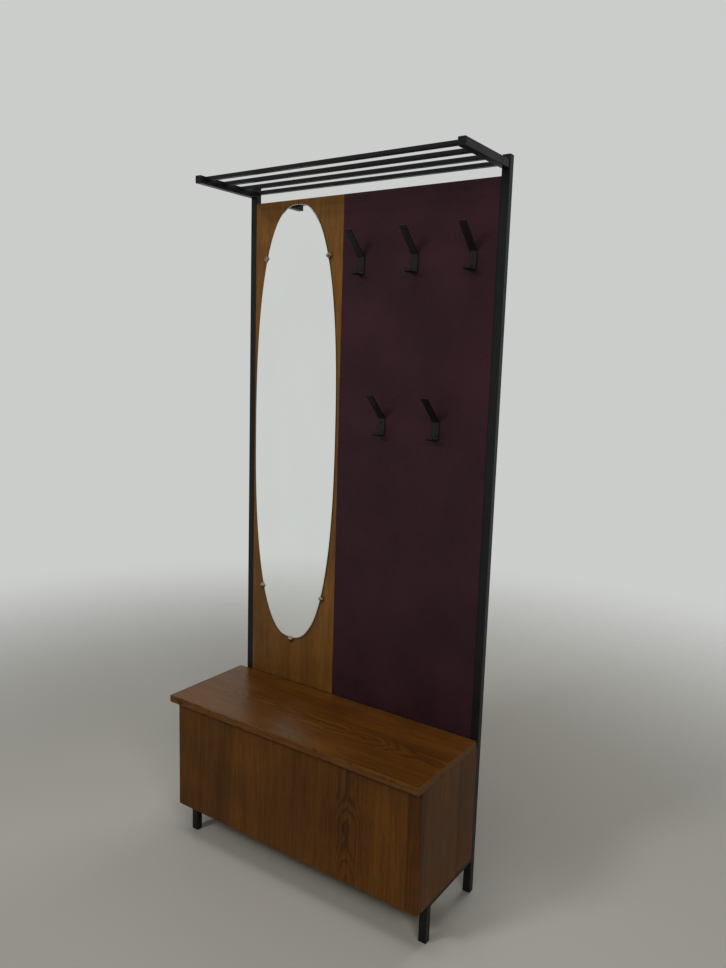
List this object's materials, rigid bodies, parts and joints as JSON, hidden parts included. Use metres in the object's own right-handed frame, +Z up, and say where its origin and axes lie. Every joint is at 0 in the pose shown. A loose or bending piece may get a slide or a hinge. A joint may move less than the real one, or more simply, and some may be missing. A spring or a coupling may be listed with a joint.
{
  "type": "hall stand",
  "caption": "Free-standing hall stand: steel frame with hat rack, oval mirror on a veneered panel, coat hooks on a covered panel, and a bench chest with a hinged lid.",
  "frame": {"origin": "on the floor, at the middle of the overall width and depth", "axes": "+X to the right as seen from the front, +Y to the back, +Z up; the front faces -Y"},
  "size_m": [0.856, 0.33, 1.95],
  "materials": {
    "frame_paint": "satin black paint",
    "hook_paint": "semi-gloss black paint",
    "black_plastic": "matt black moulded plastic",
    "honey_veneer": "honey-brown oak veneer, satin lacquer",
    "walnut_veneer": "walnut-brown stained oak veneer, satin lacquer",
    "raw_wood": "bare board and softwood",
    "burgundy_cover": "dark burgundy leathercloth, low sheen",
    "mirror": "silvered glass with a polished bevel",
    "clip_metal": "aged nickel-plated brass",
    "zinc_steel": "zinc-plated steel"
  },
  "bodies": {
    "frame": {"left_upright": "frame_paint", "left_front_leg": "frame_paint", "left_side_rail": "frame_paint", "left_rack_bar": "frame_paint", "left_upright_cap": "black_plastic", "left_rear_glide": "black_plastic", "left_front_glide": "black_plastic", "left_rack_bar_cap": "black_plastic", "right_upright": "frame_paint", "right_front_leg": "frame_paint", "right_side_rail": "frame_paint", "right_rack_bar": "frame_paint", "right_upright_cap": "black_plastic", "right_rear_glide": "black_plastic", "right_front_glide": "black_plastic", "right_rack_bar_cap": "black_plastic", "front_cross_rail": "frame_paint", "rear_cross_rail": "frame_paint", "upper_panel_rail": "frame_paint", "middle_panel_rail": "frame_paint", "lower_panel_rail": "frame_paint", "rack_slat_1": "frame_paint", "rack_slat_2": "frame_paint", "rack_slat_3": "frame_paint", "rack_slat_4": "frame_paint", "mirror_panel": "honey_veneer", "coat_panel_board": "raw_wood", "coat_panel_cover": "burgundy_cover", "panel_screws": "zinc_steel", "mirror_glass": "mirror", "mirror_clips": "clip_metal", "mirror_clip_sleeves": "black_plastic", "hook_screws": "hook_paint", "chest_front": "walnut_veneer", "chest_left_side": "walnut_veneer", "chest_right_side": "walnut_veneer", "chest_back": "raw_wood", "chest_bottom": "raw_wood", "chest_corner_blocks": "raw_wood", "chest_rail_screws": "zinc_steel", "hinge_panel_leaf": "zinc_steel", "hinge_pin": "zinc_steel", "hinge_panel_screws": "zinc_steel", "stay_stud": "zinc_steel", "upper_left_hook": "hook_paint", "upper_middle_hook": "hook_paint", "upper_right_hook": "hook_paint", "lower_left_hook": "hook_paint", "lower_right_hook": "hook_paint"},
    "lid": {"lid_board": "walnut_veneer", "lid_front_lipping": "walnut_veneer", "lid_left_lipping": "walnut_veneer", "lid_right_lipping": "walnut_veneer", "hinge_lid_leaf": "zinc_steel", "hinge_lid_screws": "zinc_steel", "stay_bracket": "zinc_steel", "stay_bracket_screws": "zinc_steel", "stay_rivet": "zinc_steel"},
    "stay_arm": {"stay_arm": "zinc_steel"}
  },
  "joints": [
    {"name": "lid_hinge", "type": "hinge", "parent": "frame", "child": "lid", "pos_m": [0.011, 0.142, 0.449], "axis": [-1, 0, 0], "range_deg": [0, 80]},
    {"name": "stay_pivot", "type": "hinge", "parent": "lid", "child": "stay_arm", "pos_m": [0.4055, -0.006, 0.418], "axis": [1, 0, 0], "range_deg": [0, 40]}
  ],
  "couplings": [
    {"joint": "stay_pivot", "follows": "lid_hinge", "ratio": 0.5}
  ]
}
